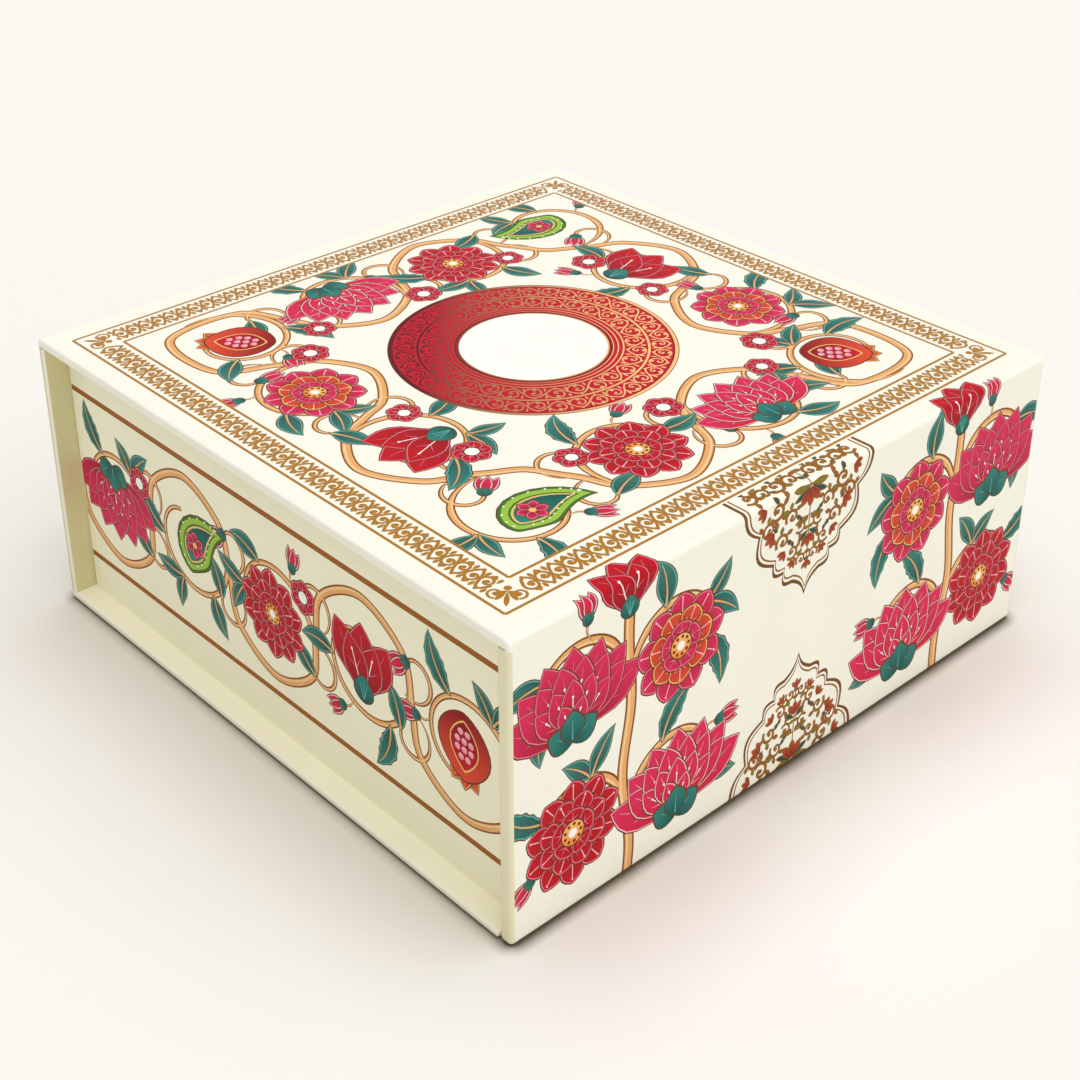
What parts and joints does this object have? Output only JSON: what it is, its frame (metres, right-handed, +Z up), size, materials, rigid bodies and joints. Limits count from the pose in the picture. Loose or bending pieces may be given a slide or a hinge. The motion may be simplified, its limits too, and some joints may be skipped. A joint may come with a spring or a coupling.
{
  "type": "hamper box",
  "caption": "Square rigid gift box with a book-style wrapped case: hinged lid, magnetic front flap that hangs to the table, and an open tray set back at both ends.",
  "frame": {"origin": "middle of the closed box's footprint, on the table", "axes": "+X along the front flap, -Y out of the flap's face, +Y out of the spine, +Z up"},
  "size_m": [0.254, 0.254, 0.111],
  "materials": {
    "greyboard": "matte",
    "printed_paper": "satin",
    "liner_paper": "matte",
    "kraft_tape": "matte",
    "magnet_nickel": "satin"
  },
  "bodies": {
    "base": {"base_board": "greyboard", "base_wrap": "printed_paper", "spine_board": "greyboard", "spine_wrap": "printed_paper", "lid_hinge_paper": "printed_paper", "tray_floor": "greyboard", "tray_end_wall_left": "greyboard", "tray_end_wall_right": "greyboard", "tray_front_wall": "greyboard", "tray_back_wall": "greyboard", "tray_corner_tape_front_left": "kraft_tape", "tray_corner_tape_front_right": "kraft_tape", "tray_corner_tape_back_left": "kraft_tape", "tray_corner_tape_back_right": "kraft_tape", "tray_magnet_left": "magnet_nickel", "tray_magnet_right": "magnet_nickel", "tray_wrap": "printed_paper", "tray_wall_liner": "liner_paper", "tray_floor_liner": "liner_paper"},
    "lid": {"lid_board": "greyboard", "lid_wrap": "printed_paper", "lid_liner": "liner_paper"},
    "flap": {"flap_outer_ply": "greyboard", "flap_inner_ply": "greyboard", "flap_magnet_left": "magnet_nickel", "flap_magnet_right": "magnet_nickel", "flap_wrap": "printed_paper", "flap_liner": "liner_paper", "flap_hinge_paper": "printed_paper"}
  },
  "joints": [
    {"name": "lid_hinge", "type": "hinge", "parent": "base", "child": "lid", "pos_m": [0, 0.1272, 0.1076], "axis": [-1, 0, 0], "range_deg": [0, 180], "deforming": ["lid_hinge_paper"]},
    {"name": "flap_hinge", "type": "hinge", "parent": "lid", "child": "flap", "pos_m": [0, -0.1272, 0.1076], "axis": [-1, 0, 0], "range_deg": [0, 180], "deforming": ["flap_hinge_paper"]}
  ]
}
